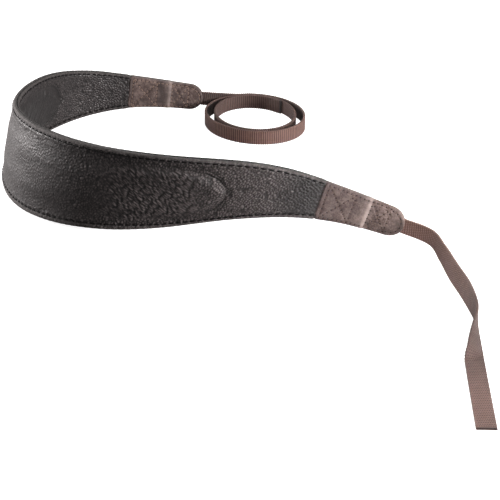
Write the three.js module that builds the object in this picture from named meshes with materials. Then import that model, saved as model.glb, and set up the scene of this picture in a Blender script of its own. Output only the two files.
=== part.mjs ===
import * as THREE from "three";

// A padded neck strap with narrow webbing at each end, lying on a floor.
// Millimetres and degrees. Z points up, X to the right and Y away from the viewer.

// The neck band, measured along its middle line from the middle of the strap
const PAD_HALF_LENGTH = 195;
const TAB_LENGTH = 52;
const WIDEST = 56;
const MIDDLE_HEIGHT = 29.9;
const RIM_THICKNESS = 4;
const RAISED_HALF_LENGTH = 132;
const RAISED_ROUNDING = 34;
const RAISED_BORDER = 6.5;
const RAISED_SLOPE = 6;
const RAISED_HEIGHT = 1.7;
const GAP = 0.3;

// The leather tabs that hold the webbing
const TAB_LEATHER = 1.2;
const PAD_END_IN_TAB = 27.2;
const TAB_STEP_START = 27.6;
const TAB_STEP_END = 28.8;
const PAD_END_THICKNESS = 2.2;
const PAD_THINNING = 1;
const PAD_END_INSET = 0.6;
const TAB_EDGE_THICKNESS = 1.5;
const TIP_RADIUS = 9.2;
const TIP_CUT = 0.15;

// The woven webbing
const WEB_WIDTH = 10;
const WEB_THICKNESS = 1.5;
const WEB_IN_TAB = 22.6;
const WEB_GAP = 0.4;
const LEAST_WALL = 1.4;

// The near webbing is laid out towards the viewer
const NEAR_REACH = 206;

// The far webbing is wound up beside its tab
const COIL_RADIUS = 35;
const COIL_CENTRE_RIGHT = 1.07;
const COIL_CENTRE_NEARER = 0.71;
const COIL_LIFT = 3.6;
const COIL_START_ANGLE = -22;
const COIL_END_ANGLE = 758;
const COIL_POINT_STEP = 18;
const COIL_END_STRAIGHT = 9;

// Sections of the neck band: where, as a percentage of the half length, which way
// the band runs in plan, how steeply it goes down, how far it leans, and how wide it is
const bandSections = [
  { along: -100, heading: 177, droop: -7, lean: 1, width: 0.32 },
  { along: -79, heading: 192, droop: -6, lean: 5, width: 0.43 },
  { along: -53, heading: 236, droop: -2, lean: 14, width: 0.8 },
  { along: -26, heading: 271, droop: -3, lean: 13, width: 0.93 },
  { along: 0, heading: 303, droop: -2, lean: 9, width: 1 },
  { along: 26, heading: 343, droop: 0, lean: -1, width: 0.93 },
  { along: 53, heading: 358, droop: -2, lean: -16, width: 0.8 },
  { along: 79, heading: 367, droop: 17, lean: -1, width: 0.43 },
  { along: 100, heading: 343, droop: 16, lean: -1, width: 0.32 },
];

// The near webbing's lower edge: how far it is to the right of its tab's tip and nearer
// than it, and how clear of the floor, as shares of its reach, and how far it leans over
const nearRun = [
  { right: 0.068, nearer: 0.068, lift: 0.0117, roll: 7 },
  { right: 0.087, nearer: 0.146, lift: 0.002, roll: 17 },
  { right: 0.101, nearer: 0.262, lift: 0.0005, roll: 28 },
  { right: 0.117, nearer: 0.35, lift: 0.0005, roll: 28 },
  { right: 0.131, nearer: 0.437, lift: 0.0005, roll: 16 },
  { right: 0.138, nearer: 0.495, lift: 0.0005, roll: 3 },
  { right: 0.136, nearer: 0.578, lift: 0.0005, roll: -22 },
  { right: 0.132, nearer: 0.685, lift: 0.0005, roll: -63 },
  { right: 0.127, nearer: 0.786, lift: 0.0005, roll: -90 },
  { right: 0.122, nearer: 0.893, lift: 0.0005, roll: -90 },
  { right: 0.117, nearer: 1, lift: 0.0005, roll: -90 },
];

// The coil's reach from its centre, sideways and in depth, as shares of its radius, and
// how many thicknesses of webbing lie outside it there
const coilTurns = [
  { angle: -90, side: 1.03, depth: 0.98, layer: 0 },
  { angle: 0, side: 1.005, depth: 0.925, layer: 0 },
  { angle: 180, side: 0.995, depth: 0.915, layer: 0 },
  { angle: 270, side: 0.995, depth: 0.9, layer: 0 },
  { angle: 360, side: 0.94, depth: 0.925, layer: 1 },
  { angle: 450, side: 0.857, depth: 0.885, layer: 1 },
  { angle: 540, side: 0.857, depth: 0.869, layer: 1 },
  { angle: 630, side: 0.857, depth: 0.88, layer: 1 },
  { angle: 720, side: 0.9, depth: 0.92, layer: 2 },
  { angle: 810, side: 0.875, depth: 0.91, layer: 2 },
];

const LEATHER = new THREE.MeshStandardMaterial({ color: 0x2b2725, roughness: 0.6 });
const NUBUCK = new THREE.MeshStandardMaterial({ color: 0x5a4234, roughness: 0.85 });
const WEBBING = new THREE.MeshStandardMaterial({ color: 0x6b5446, roughness: 0.9 });

const HALF_LENGTH = PAD_HALF_LENGTH + TAB_LENGTH;
const UP = new THREE.Vector3(0, 0, 1);
const radians = THREE.MathUtils.degToRad;

// A natural cubic spline through the rows' values
function smoothThrough(places, values) {
  const last = places.length - 1;
  const bend = new Array(last + 1).fill(0);
  const pivot = new Array(last + 1).fill(1);
  const load = new Array(last + 1).fill(0);
  for (let i = 1; i < last; i++) {
    const before = places[i] - places[i - 1];
    const after = places[i + 1] - places[i];
    const jump = (values[i + 1] - values[i]) / after - (values[i] - values[i - 1]) / before;
    const carry = i > 1 ? before / pivot[i - 1] : 0;
    pivot[i] = 2 * (before + after) - carry * before;
    load[i] = 6 * jump - carry * load[i - 1];
  }
  for (let i = last - 1; i > 0; i--) {
    const after = places[i + 1] - places[i];
    bend[i] = (load[i] - after * bend[i + 1]) / pivot[i];
  }
  return (place) => {
    let i = 0;
    while (i < last - 1 && place > places[i + 1]) i++;
    const span = places[i + 1] - places[i];
    const b = (place - places[i]) / span;
    const a = 1 - b;
    const curve = (a * a * a - a) * bend[i] + (b * b * b - b) * bend[i + 1];
    return a * values[i] + b * values[i + 1] + (curve * span * span) / 6;
  };
}

function column(rows, key, value, scale = 1) {
  return smoothThrough(
    rows.map((row) => row[key] * scale),
    rows.map((row) => row[value]),
  );
}

function easeBetween(from, to, value) {
  return THREE.MathUtils.smoothstep(value, from, to);
}

// Directions at one place: along, across and out of the face
function directions(heading, droop, lean) {
  const along = new THREE.Vector3(
    Math.cos(droop) * Math.cos(heading),
    Math.cos(droop) * Math.sin(heading),
    -Math.sin(droop),
  );
  const upright = UP.clone().addScaledVector(along, -UP.dot(along)).normalize();
  const sideways = new THREE.Vector3(-Math.sin(heading), Math.cos(heading), 0);
  const across = upright.multiplyScalar(Math.cos(lean)).addScaledVector(sideways, Math.sin(lean));
  const out = new THREE.Vector3().crossVectors(along, across);
  return { along, across, out };
}

const percent = HALF_LENGTH / 100;
const headingAt = column(bandSections, "along", "heading", percent);
const droopAt = column(bandSections, "along", "droop", percent);
const leanAt = column(bandSections, "along", "lean", percent);
const widthShareAt = column(bandSections, "along", "width", percent);

function bandDirections(place) {
  return directions(radians(headingAt(place)), radians(droopAt(place)), radians(leanAt(place)));
}

// Steps of about a millimetre along the middle line, both ways from the middle
function layMiddleLine() {
  const steps = Math.round(HALF_LENGTH);
  const stride = HALF_LENGTH / steps;
  const line = new Map([[0, new THREE.Vector3(0, 0, MIDDLE_HEIGHT)]]);
  for (const way of [1, -1]) {
    for (let i = 0; i < steps; i++) {
      const middle = bandDirections(way * (i + 0.5) * stride).along;
      line.set(way * (i + 1), line.get(way * i).clone().addScaledVector(middle, way * stride));
    }
  }
  return { line, stride, steps };
}

const middleLine = layMiddleLine();

function bandAt(place) {
  const index = THREE.MathUtils.clamp(place / middleLine.stride, -middleLine.steps, middleLine.steps);
  const low = Math.min(Math.floor(index), middleLine.steps - 1);
  const centre = middleLine.line.get(low).clone().lerp(middleLine.line.get(low + 1), index - low);
  return { centre, halfWidth: (widthShareAt(place) * WIDEST) / 2, ...bandDirections(place) };
}

function onBand(section, across, out) {
  return section.centre
    .clone()
    .addScaledVector(section.across, across)
    .addScaledVector(section.out, out);
}

// A closed sheet between a grid of face points and a grid of back points
function closedSheet(face, back) {
  const rows = face.length;
  const columns = face[0].length;
  const points = [...face.flat(), ...back.flat()];
  const faceIndex = (i, j) => i * columns + j;
  const backIndex = (i, j) => rows * columns + i * columns + j;
  const triangles = [];
  const quad = (a, b, c, d) => triangles.push(a, b, c, a, c, d);
  for (let i = 0; i < rows - 1; i++) {
    for (let j = 0; j < columns - 1; j++) {
      quad(faceIndex(i, j), faceIndex(i + 1, j), faceIndex(i + 1, j + 1), faceIndex(i, j + 1));
      quad(backIndex(i, j), backIndex(i, j + 1), backIndex(i + 1, j + 1), backIndex(i + 1, j));
    }
    quad(backIndex(i, 0), backIndex(i + 1, 0), faceIndex(i + 1, 0), faceIndex(i, 0));
    const edge = columns - 1;
    quad(faceIndex(i, edge), faceIndex(i + 1, edge), backIndex(i + 1, edge), backIndex(i, edge));
  }
  const end = rows - 1;
  for (let j = 0; j < columns - 1; j++) {
    quad(faceIndex(0, j), faceIndex(0, j + 1), backIndex(0, j + 1), backIndex(0, j));
    quad(faceIndex(end, j + 1), faceIndex(end, j), backIndex(end, j), backIndex(end, j + 1));
  }
  const geometry = new THREE.BufferGeometry().setFromPoints(points);
  geometry.setIndex(triangles);
  return geometry;
}

// Turns every triangle round where the sheet came out facing inwards
function facingOut(geometry) {
  const position = geometry.getAttribute("position");
  const index = geometry.getIndex();
  const corner = [new THREE.Vector3(), new THREE.Vector3(), new THREE.Vector3()];
  let volume = 0;
  for (let i = 0; i < index.count; i += 3) {
    corner.forEach((point, k) => point.fromBufferAttribute(position, index.getX(i + k)));
    volume += corner[0].dot(corner[1].clone().cross(corner[2]));
  }
  if (volume < 0) {
    for (let i = 0; i < index.count; i += 3) {
      const second = index.getX(i + 1);
      index.setX(i + 1, index.getX(i + 2));
      index.setX(i + 2, second);
    }
  }
  return geometry;
}

function evenPlaces(from, to, count) {
  return Array.from({ length: count + 1 }, (_, i) => from + ((to - from) * i) / count);
}

function piece(name, geometry, material) {
  const mesh = new THREE.Mesh(facingOut(geometry), material);
  mesh.name = name;
  return mesh;
}

// How far the padding pushes the leather out at one place
function raisedBy(place, across, halfWidth) {
  const ending = Math.abs(place) - (RAISED_HALF_LENGTH - RAISED_ROUNDING);
  const share = THREE.MathUtils.clamp(ending / RAISED_ROUNDING, 0, 1);
  const zone = (halfWidth - RAISED_BORDER) * Math.sqrt(1 - share * share);
  return RAISED_HEIGHT * easeBetween(0, RAISED_SLOPE, zone - Math.abs(across));
}

// One leather half of the neck band; side is 1 for the outer face and -1 for the inner
function padPanel(side) {
  const fullEnd = PAD_HALF_LENGTH - PAD_THINNING;
  const thinEnd = PAD_HALF_LENGTH - GAP;
  const places = [
    ...evenPlaces(-(PAD_HALF_LENGTH + PAD_END_IN_TAB), -thinEnd, 4),
    ...evenPlaces(-fullEnd, fullEnd, 56),
    ...evenPlaces(thinEnd, PAD_HALF_LENGTH + PAD_END_IN_TAB, 4),
  ];
  const shares = [-1, -0.84, -0.68, -0.5, -0.25, 0, 0.25, 0.5, 0.68, 0.84, 1];
  const grid = (outAt) =>
    places.map((place) => {
      const section = bandAt(place);
      const inTab = Math.abs(place) > fullEnd + 0.01;
      const half = section.halfWidth - (inTab ? PAD_END_INSET : 0);
      return shares.map((share) => onBand(section, share * half, side * outAt(place, share * half, half, inTab)));
    });
  const face = grid((place, across, half, inTab) =>
    inTab ? PAD_END_THICKNESS / 2 : RIM_THICKNESS / 2 + raisedBy(place, across, half),
  );
  const back = grid(() => GAP / 2);
  return closedSheet(face, back);
}

// Half the width of a tab, round at its tip
function tabHalfWidth(place, section) {
  const intoTip = Math.abs(place) - (HALF_LENGTH - TIP_RADIUS);
  if (intoTip <= 0) return section.halfWidth;
  return section.halfWidth * Math.sqrt(1 - (intoTip / TIP_RADIUS) ** 2);
}

// One leather tab half; end is 1 for the near end and -1 for the far end
function tabLeather(end, side) {
  const start = PAD_HALF_LENGTH;
  const tipStart = HALF_LENGTH - TIP_RADIUS;
  const roundRows = [0, 0.3, 0.55, 0.75, 0.88, 0.96].map((share) => tipStart + TIP_RADIUS * share);
  const places = [
    ...evenPlaces(start, start + TAB_STEP_START, 5),
    ...evenPlaces(start + TAB_STEP_END, tipStart - 3, 3),
    ...roundRows,
    HALF_LENGTH - TIP_CUT,
  ];
  const channel = WEB_WIDTH / 2 + WEB_GAP;
  const overWeb = WEB_THICKNESS / 2 + WEB_GAP;
  const overPad = PAD_END_THICKNESS / 2 + GAP;
  const acrossAt = (half) => {
    const wallOut = Math.min(0.94 * half, channel + 0.2);
    const wallIn = Math.min(0.88 * half, channel);
    return [-half, -wallOut, -wallIn, -0.4 * wallIn, 0.4 * wallIn, wallIn, wallOut, half];
  };
  const grid = (outAt) =>
    places.map((distance) => {
      const section = bandAt(end * distance);
      const half = tabHalfWidth(distance, section);
      const inPad = distance - start <= TAB_STEP_START + 0.01;
      const openTip = half < channel + LEAST_WALL;
      return acrossAt(half).map((across) =>
        onBand(section, across, side * outAt(Math.abs(across), inPad, openTip)),
      );
    });
  const back = grid((across, inPad, openTip) => {
    if (inPad) return overPad;
    return openTip || across < channel + 0.1 ? overWeb : GAP / 2;
  });
  const face = grid((across, inPad) => {
    if (inPad) return overPad + TAB_LEATHER;
    const crown = 1 - easeBetween(channel - 1.6, channel + 3.4, across);
    const edge = GAP / 2 + TAB_EDGE_THICKNESS;
    return edge + (overWeb + TAB_LEATHER - edge) * crown;
  });
  return closedSheet(face, back);
}

// A flat tape through stations that each have a centre and two directions
function tape(stations) {
  const half = WEB_WIDTH / 2;
  const thick = WEB_THICKNESS / 2;
  const face = stations.map((at) => [onBand(at, -half, thick), onBand(at, half, thick)]);
  const back = stations.map((at) => [onBand(at, -half, -thick), onBand(at, half, -thick)]);
  return closedSheet(face, back);
}

function tabStations(end) {
  const places = evenPlaces(HALF_LENGTH - WEB_IN_TAB, HALF_LENGTH, 8);
  return places.map((place) => bandAt(end * place));
}

// Directions of a tape whose path runs along a given line and leans by a given roll
function leaning(along, roll) {
  const heading = Math.atan2(along.y, along.x);
  const droop = -Math.asin(THREE.MathUtils.clamp(along.z, -1, 1));
  return directions(heading, droop, roll);
}

// The near webbing comes out of its tab on edge, turns over and lies flat to its end
function nearWebbing() {
  const inside = tabStations(1);
  const tip = inside[inside.length - 1];
  const before = bandAt(HALF_LENGTH - 7);
  const lowerEdge = (at) => onBand(at, -WEB_WIDTH / 2, 0);
  const floorPoints = nearRun.map((row) => {
    const onCorner = (WEB_THICKNESS / 2) * Math.abs(Math.sin(radians(row.roll)));
    return new THREE.Vector3(
      tip.centre.x + row.right * NEAR_REACH,
      tip.centre.y - row.nearer * NEAR_REACH,
      row.lift * NEAR_REACH + onCorner,
    );
  });
  const points = [lowerEdge(before), lowerEdge(tip), ...floorPoints];
  const rolls = [leanAt(HALF_LENGTH - 7), leanAt(HALF_LENGTH), ...nearRun.map((row) => row.roll)];
  const line = new THREE.CatmullRomCurve3(points);
  const rollAt = smoothThrough(rolls.map((_, i) => i), rolls);
  const last = points.length - 1;
  const perSpan = 5;
  const stations = [];
  for (let i = 1; i <= (last - 1) * perSpan; i++) {
    const place = 1 + i / perSpan;
    const along = line.getTangent(place / last);
    const flat = place >= last - 3;
    const roll = flat ? rolls[last] : rollAt(place);
    const turned = leaning(along, radians(roll));
    const lower = line.getPoint(place / last);
    stations.push({ ...turned, centre: lower.addScaledVector(turned.across, WEB_WIDTH / 2) });
  }
  return tape([...inside, ...stations]);
}

const coilSideAt = column(coilTurns, "angle", "side");
const coilDepthAt = column(coilTurns, "angle", "depth");
const coilLayerAt = column(coilTurns, "angle", "layer");

function coilPoint(tip, angle) {
  const turn = radians(angle);
  const lift = (COIL_LIFT * (1 + Math.cos(turn))) / 2;
  const inward = coilLayerAt(angle) * (WEB_THICKNESS + GAP);
  const side = COIL_CENTRE_RIGHT * COIL_RADIUS + (coilSideAt(angle) * COIL_RADIUS - inward) * Math.sin(turn);
  const away = (coilDepthAt(angle) * COIL_RADIUS - inward) * Math.cos(turn);
  return new THREE.Vector3(
    tip.x + side,
    tip.y - COIL_CENTRE_NEARER * COIL_RADIUS + away,
    lift + WEB_WIDTH / 2,
  );
}

// The far webbing leaves its tab and winds inwards, standing on edge
function farWebbing() {
  const inside = tabStations(-1);
  const tip = inside[inside.length - 1].centre;
  const count = Math.round((COIL_END_ANGLE - COIL_START_ANGLE) / COIL_POINT_STEP);
  const angles = evenPlaces(COIL_START_ANGLE, COIL_END_ANGLE, count);
  const coil = angles.map((angle) => coilPoint(tip, angle));
  const last = coil[coil.length - 1];
  const finish = last.clone().sub(coil[coil.length - 2]).setZ(0).normalize();
  coil.push(last.clone().addScaledVector(finish, COIL_END_STRAIGHT));
  const line = new THREE.CatmullRomCurve3([bandAt(-HALF_LENGTH + 7).centre, tip, ...coil]);
  const spans = coil.length + 1;
  const perSpan = 3;
  const stations = [];
  for (let i = 1; i <= (spans - 1) * perSpan; i++) {
    const place = 1 + i / perSpan;
    const straight = place >= spans - 1;
    const along = straight ? finish.clone() : line.getTangent(place / spans);
    const fade = Math.max(0, 1 - (place - 1) / 2);
    const turned = leaning(along, -radians(leanAt(-HALF_LENGTH)) * fade);
    stations.push({ ...turned, centre: line.getPoint(place / spans) });
  }
  const first = inside.map((at) => ({ ...at, out: at.out.clone().negate() }));
  return tape([...first, ...stations]);
}

// Stands the whole strap on the floor with its middle over the origin
function centreOnFloor(group) {
  const box = new THREE.Box3().setFromObject(group);
  const middle = box.getCenter(new THREE.Vector3());
  const shift = new THREE.Vector3(-middle.x, -middle.y, -box.min.z);
  group.children.forEach((mesh) => mesh.geometry.translate(shift.x, shift.y, shift.z));
}

const strap = new THREE.Group();
strap.name = "camera_strap";
strap.add(piece("outer_panel", padPanel(1), LEATHER));
strap.add(piece("inner_panel", padPanel(-1), LEATHER));
strap.add(piece("tab_near_outer", tabLeather(1, 1), NUBUCK));
strap.add(piece("tab_near_inner", tabLeather(1, -1), NUBUCK));
strap.add(piece("tab_far_outer", tabLeather(-1, 1), NUBUCK));
strap.add(piece("tab_far_inner", tabLeather(-1, -1), NUBUCK));
strap.add(piece("webbing_near", nearWebbing(), WEBBING));
strap.add(piece("webbing_far", farWebbing(), WEBBING));
centreOnFloor(strap);

export default strap;
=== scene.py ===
import math
from collections import namedtuple

import bpy
import numpy as np
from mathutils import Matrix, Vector


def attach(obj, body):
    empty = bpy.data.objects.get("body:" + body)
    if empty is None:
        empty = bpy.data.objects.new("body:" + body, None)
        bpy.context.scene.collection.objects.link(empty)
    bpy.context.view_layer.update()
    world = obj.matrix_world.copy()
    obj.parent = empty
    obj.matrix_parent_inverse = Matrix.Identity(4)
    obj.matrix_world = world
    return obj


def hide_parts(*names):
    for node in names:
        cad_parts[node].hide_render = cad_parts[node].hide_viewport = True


# A padded leather neck strap with two narrow webbing ends, lying on a pale floor.
# Lengths in the tables and named values are millimetres and angles are degrees.
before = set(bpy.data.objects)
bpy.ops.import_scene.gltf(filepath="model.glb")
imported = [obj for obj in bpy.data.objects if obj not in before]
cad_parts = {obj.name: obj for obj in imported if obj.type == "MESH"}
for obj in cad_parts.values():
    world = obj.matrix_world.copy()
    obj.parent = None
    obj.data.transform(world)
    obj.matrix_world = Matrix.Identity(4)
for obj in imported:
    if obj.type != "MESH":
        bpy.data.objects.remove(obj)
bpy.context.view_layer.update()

MM = 0.001

# The neck band, measured along its middle line from the middle of the strap
PAD_HALF = 195.0
TAB_LENGTH = 52.0
HALF_LENGTH = PAD_HALF + TAB_LENGTH
WIDEST = 56.0
MIDDLE_HEIGHT = 29.9
LOWER_EDGE = 1.1
MIDDLE_PLACE = (-116.94, 40.35, 0.02)
RAISED_HALF = 137.5
RAISED_ROUNDING = 27.0
RAISED_BORDER = 6.5
RAISED_SLOPE = 6.0
RAISED_HEIGHT = 1.75
PAD_STITCH_PITCH = 4.2
PAD_STITCH_RADIUS = 0.52
PAD_STITCH_LIFT = 0.16
PAD_IN_TAB = 3.0
PAD_FACE = 2.0
OUTER_BACK = -0.3
INNER_BACK = 0.45
OUTER_SEED = 5
INNER_SEED = 41

# The streaks that the padding pulls the leather's pebbles into, in relief and in colour
STREAK_SLANT = 42.0
RAISED_STREAK = (4.6, 1.2)
PAINTED_STREAK = (4.4, 1.15)

# The leather tabs
TAB_STEP = 27.6
TIP_RADIUS = 9.2
TAB_INSET = 2.0
TAB_EARLY = 1.5
TAB_PITCH = 2.9
WEB_IN_TAB = 22.6
TAB_WALL = 1.4
TAB_LOW = 0.14
TAB_BACK_OVER_PAD = 1.32
TAB_BACK_OVER_WEB = 1.12

# The webbing
WEB_WIDTH = 10.0
WEB_THICKNESS = 1.5
PICK = 1.5
YARN = 0.55
TWIST_PITCH = 0.24
WEB_ROUNDING = 0.42
RIB_DEPTH = 0.12
WEB_GUIDE = 7.0
NEAR_REACH = 206.0
COIL_RADIUS = 35.0
COIL_CENTRE_RIGHT = 1.07
COIL_CENTRE_NEARER = 0.71
COIL_LIFT = 3.6
COIL_START = -22.0
COIL_END = 758.0
COIL_POINTS = 43
COIL_END_STRAIGHT = 2.2
COIL_SKEW = 0.15
COIL_SKEW_FROM = 46.0
LAYER_GAP = 0.3
NEAR_STATIONS = 900
NEAR_FLAT_SPANS = 3
FAR_STATIONS = 2600
LEAN_SMOOTHING = 41
HEADING_SMOOTHING = 15

# The camera stands where the photograph was taken from
CAMERA_PLACE = (20.3, -774.8, 372.0)
CAMERA_TILT = 26.2
FOCAL_PIXELS = 1440.0
FRAME_PIXELS = 500.0
SENSOR = 36.0

# along is a percentage of the half length, and width a share of the widest
BAND = [
    # along, heading, droop, lean, width
    (-100, 177, -7, 1, 0.32),
    (-79, 192, -6, 5, 0.43),
    (-53, 236, -2, 14, 0.80),
    (-26, 271, -3, 13, 0.93),
    (0, 303, -2, 9, 1.00),
    (26, 343, 0, -1, 0.93),
    (53, 358, -2, -16, 0.80),
    (79, 367, 17, -1, 0.43),
    (100, 343, 16, -1, 0.32),
]

# The near webbing's lower edge, as shares of its reach, and how far it leans over
NEAR_RUN = [
    # right, nearer, lift, roll
    (0.068, 0.068, 0.0117, 7),
    (0.087, 0.146, 0.0020, 17),
    (0.101, 0.262, 0.0005, 28),
    (0.117, 0.350, 0.0005, 28),
    (0.131, 0.437, 0.0005, 16),
    (0.138, 0.495, 0.0005, 3),
    (0.136, 0.578, 0.0005, -22),
    (0.132, 0.685, 0.0005, -63),
    (0.127, 0.786, 0.0005, -90),
    (0.122, 0.893, 0.0005, -90),
    (0.117, 1.000, 0.0005, -90),
]

# The coil's reach from its centre as shares of its radius, and the layers outside it
COIL = [
    # angle, side, depth, layer
    (-90, 1.030, 0.980, 0),
    (0, 1.005, 0.925, 0),
    (180, 0.995, 0.915, 0),
    (270, 0.995, 0.900, 0),
    (360, 0.940, 0.925, 1),
    (450, 0.857, 0.885, 1),
    (540, 0.857, 0.869, 1),
    (630, 0.857, 0.880, 1),
    (720, 0.900, 0.920, 2),
    (810, 0.875, 0.910, 2),
]


# Curves and directions

def smooth_through(places, values):
    """A natural cubic spline, given as a function of an array of places."""
    x = np.asarray(places, float)
    y = np.asarray(values, float)
    count = len(x)
    step = np.diff(x)
    slope = np.diff(y) / step
    system = np.eye(count)
    load = np.zeros(count)
    for i in range(1, count - 1):
        system[i, i - 1] = step[i - 1]
        system[i, i] = 2 * (step[i - 1] + step[i])
        system[i, i + 1] = step[i]
        load[i] = 6 * (slope[i] - slope[i - 1])
    bend = np.linalg.solve(system, load)

    def at(place):
        place = np.asarray(place, float)
        i = np.clip(np.searchsorted(x, place) - 1, 0, count - 2)
        b = (place - x[i]) / step[i]
        a = 1 - b
        curve = (a**3 - a) * bend[i] + (b**3 - b) * bend[i + 1]
        return a * y[i] + b * y[i + 1] + curve * step[i] ** 2 / 6

    return at


def columns(rows, scale=1.0):
    table = np.array(rows, float)
    return [smooth_through(table[:, 0] * scale, table[:, k]) for k in range(1, table.shape[1])]


def unit(vectors):
    return vectors / np.linalg.norm(vectors, axis=-1, keepdims=True)


def directions(along, lean):
    """Along, across and out of the face, for directions along a path and leans in radians."""
    up = np.array([0.0, 0.0, 1.0])
    upright = unit(up - along * along[:, 2:3])
    flat = np.hypot(along[:, 0], along[:, 1])
    sideways = np.stack([-along[:, 1] / flat, along[:, 0] / flat, np.zeros(len(along))], 1)
    across = upright * np.cos(lean)[:, None] + sideways * np.sin(lean)[:, None]
    return along, across, np.cross(along, across)


heading_at, droop_at, lean_at, width_at = columns(BAND, HALF_LENGTH / 100)


def band_directions(place):
    heading = np.radians(heading_at(place))
    droop = np.radians(droop_at(place))
    along = np.stack(
        [np.cos(droop) * np.cos(heading), np.cos(droop) * np.sin(heading), -np.sin(droop)], 1
    )
    return directions(along, np.radians(lean_at(place)))


def lay_middle_line():
    steps = int(round(HALF_LENGTH))
    middles = np.arange(-steps, steps) + 0.5
    along = band_directions(middles)[0]
    ends = np.vstack([np.zeros(3), np.cumsum(along, axis=0)])
    line = ends - ends[steps] + np.array([0, 0, MIDDLE_HEIGHT]) + np.array(MIDDLE_PLACE)
    return np.arange(-steps, steps + 1.0), line


LINE_PLACES, LINE_POINTS = lay_middle_line()
LINE_AT = [smooth_through(LINE_PLACES[::4], LINE_POINTS[::4, k]) for k in range(3)]


def half_width_at(place):
    return (width_at(place) * WIDEST + LOWER_EDGE) / 2


def band_at(place):
    """Centre, along, across, out and half width of the band at an array of places."""
    place = np.asarray(place, float)
    along, across, out = band_directions(place)
    centre = np.stack([at(place) for at in LINE_AT], 1) - across * LOWER_EDGE / 2
    return centre, along, across, out, half_width_at(place)


def ease(low, high, value):
    t = np.clip((value - low) / (high - low), 0, 1)
    return t * t * (3 - 2 * t)


def bell(value, width):
    return np.exp(-((value / width) ** 2))


# Seeded patterns over a surface's own two coordinates

def lattice(ix, iy, seed):
    """A random number from 0 to 1 for each whole-number cell."""
    mixed = (ix.astype(np.int64) * 374761393 + iy.astype(np.int64) * 668265263 + seed * 974634777)
    mixed = (mixed ^ (mixed >> 13)) * 1274126177
    mixed = mixed ^ (mixed >> 16)
    return (mixed & 0xFFFFFF) / float(0xFFFFFF)


def soft_noise(x, y, seed):
    """Smooth noise from -1 to 1 with a cell of one unit."""
    ix, iy = np.floor(x), np.floor(y)
    fx, fy = ease(0, 1, x - ix), ease(0, 1, y - iy)
    low = lattice(ix, iy, seed) * (1 - fx) + lattice(ix + 1, iy, seed) * fx
    high = lattice(ix, iy + 1, seed) * (1 - fx) + lattice(ix + 1, iy + 1, seed) * fx
    return (low * (1 - fy) + high * fy) * 2 - 1


def pebbles(x, y, seed):
    """0 in the creases between rounded cells of one unit, and 1 on their tops."""
    ix, iy = np.floor(x), np.floor(y)
    nearest = np.full(x.shape, 9.0)
    second = np.full(x.shape, 9.0)
    for dx in (-1, 0, 1):
        for dy in (-1, 0, 1):
            cx, cy = ix + dx, iy + dy
            px = cx + 0.5 + 0.95 * (lattice(cx, cy, seed) - 0.5)
            py = cy + 0.5 + 0.95 * (lattice(cx, cy, seed + 7) - 0.5)
            away = np.hypot(x - px, y - py)
            second = np.minimum(second, np.maximum(away, nearest))
            nearest = np.minimum(nearest, away)
    return ease(0.0, 0.5, second - nearest)


# Meshes

MAP_UNIT = 100.0


def add_object(name, data):
    thing = bpy.data.objects.new(name, data)
    bpy.context.scene.collection.objects.link(thing)
    return thing


def add_piece(name, points, faces, material, slot):
    """A smooth piece from points in millimetres, with none of them below the floor."""
    points = points * MM
    points[:, 2] = np.maximum(points[:, 2], 0)
    mesh = bpy.data.meshes.new(name)
    mesh.from_pydata(points, [], faces, shade_flat=False)
    mesh.validate()
    mesh.materials.append(material)
    piece = add_object(name, mesh)
    return piece


def ring_faces(rows, around):
    """Quads of a tube of closed rings, as many rows of as many points."""
    i, j = np.meshgrid(np.arange(rows - 1), np.arange(around), indexing="ij")
    nxt = (j + 1) % around
    quads = np.stack([i * around + j, (i + 1) * around + j, (i + 1) * around + nxt, i * around + nxt], -1)
    return quads.reshape(-1, 4)


def closed_tube(rings):
    """Points and quads of a tube whose two ends are closed with strips across them."""
    rows, around, _ = rings.shape
    faces = [ring_faces(rows, around)]
    half = around // 2
    for row, flip in ((0, True), (rows - 1, False)):
        k = np.arange(half - 1)
        base = row * around
        strip = np.stack([base + k, base + k + 1, base + around - 2 - k, base + around - 1 - k], 1)
        faces.append(strip[:, ::-1] if flip else strip)
    return rings.reshape(-1, 3), np.vstack(faces)


def faced_out(points, faces):
    """The faces, turned the other way if they look inward."""
    quads = points[faces]
    area = np.cross(quads[:, 2] - quads[:, 0], quads[:, 3] - quads[:, 1])
    return faces if (area * quads.mean(axis=1)).sum() > 0 else faces[:, [0, 3, 2, 1]]


def section(face, rim, back):
    """Places across and levels out round a tube, from its face, rim and back."""
    (across, level), (rim_across, high, low), (back_across, under) = face, rim, back
    ring_across = np.hstack([across, rim_across, back_across, -rim_across[:, ::-1]])
    return ring_across, np.hstack([level, high, under, low[:, ::-1]])


def add_tube(name, stations, across, out, material, slot):
    """A closed tube of sections, given as places across and out from each station."""
    centre, across_dir, out_dir = (vectors[:, None, :] for vectors in stations)
    points, faces = closed_tube(centre + across_dir * across[:, :, None] + out_dir * out[:, :, None])
    return add_piece(name, points, faced_out(points, faces), material, slot)


def per_column(values, count):
    """A row for each value, with the value in every one of its columns."""
    return np.repeat(values[:, None], count, 1)


def point_values(piece, **layers):
    """Values at the points of a piece, which its material reads by their names."""
    for name, values in layers.items():
        layer = piece.data.attributes.new(name, "FLOAT", "POINT")
        layer.data.foreach_set("value", np.asarray(values, np.float32).ravel())


def surface_map(piece, along, across):
    """A UV map of the millimetres along and across the piece, over the map's unit."""
    layer = piece.data.uv_layers.new(name="flat_cut")
    corners = np.zeros(len(piece.data.loops), dtype=np.int32)
    piece.data.loops.foreach_get("vertex_index", corners)
    flat = np.stack([np.ravel(along)[corners], np.ravel(across)[corners]], 1) / MAP_UNIT
    layer.data.foreach_set("uv", flat.astype(np.float32).ravel())


# Materials

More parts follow.
